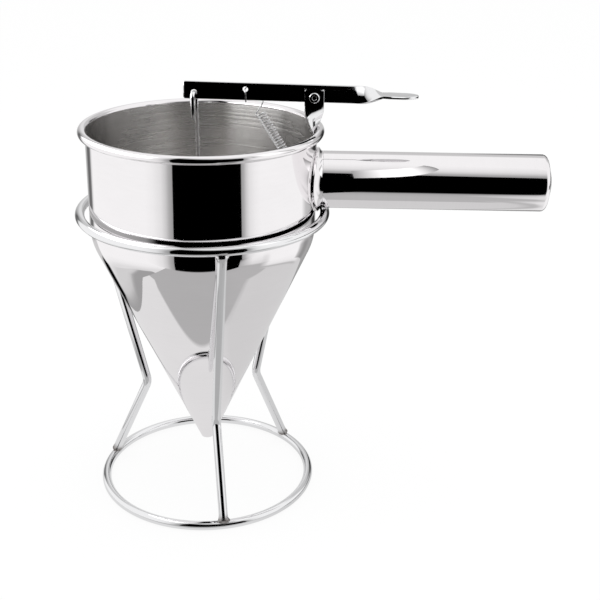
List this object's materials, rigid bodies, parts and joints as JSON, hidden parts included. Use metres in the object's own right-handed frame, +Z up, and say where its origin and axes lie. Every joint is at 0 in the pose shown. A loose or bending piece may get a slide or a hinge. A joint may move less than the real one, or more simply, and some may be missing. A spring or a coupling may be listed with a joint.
{
  "type": "batter dispenser",
  "caption": "Steel hopper with rolled rim and long cone, straight tube handle and thumb lever that lifts a plug rod against a spring, resting in a three-legged wire stand.",
  "frame": {"origin": "middle of the stand, on the surface it rests on", "axes": "+Z up along the hopper's axis, +X along the handle, -Y towards the front, where the lever's rivet head is"},
  "size_m": [0.251, 0.135, 0.2318],
  "materials": {
    "polished_steel": "mirror polish outside, fine satin inside",
    "wire_steel": "polished wire",
    "strip_steel": "polished strip",
    "spring_steel": "drawn wire"
  },
  "bodies": {
    "stand": {"base_ring": "wire_steel", "leg_front": "wire_steel", "leg_right": "wire_steel", "leg_left": "wire_steel", "top_ring": "wire_steel"},
    "hopper": {"hopper": "polished_steel", "handle_collar": "polished_steel", "handle_tube": "polished_steel", "handle_cap": "polished_steel", "pivot_bracket": "strip_steel", "pivot_rivet": "strip_steel", "pivot_washer": "strip_steel", "spring": "spring_steel"},
    "lever": {"lever": "strip_steel"},
    "rod": {"rod": "wire_steel", "plug": "polished_steel"}
  },
  "joints": [
    {"name": "hopper_lift", "type": "slide", "parent": "stand", "child": "hopper", "axis": [0, 0, 1], "range_m": [0, 0.15]},
    {"name": "lever_pivot", "type": "hinge", "parent": "hopper", "child": "lever", "pos_m": [0.05806, 0, 0.2246], "axis": [0, 1, 0], "range_deg": [0, 20], "stiffness_Nm_per_rad": 0.3, "springref_deg": -17.19, "deforming": ["spring"]},
    {"name": "rod_swing", "type": "hinge", "parent": "lever", "child": "rod", "pos_m": [-0.00362, 0, 0.2259], "axis": [0, 1, 0], "range_deg": [-20, 0]}
  ],
  "couplings": [
    {"joint": "rod_swing", "follows": "lever_pivot", "ratio": -1}
  ]
}
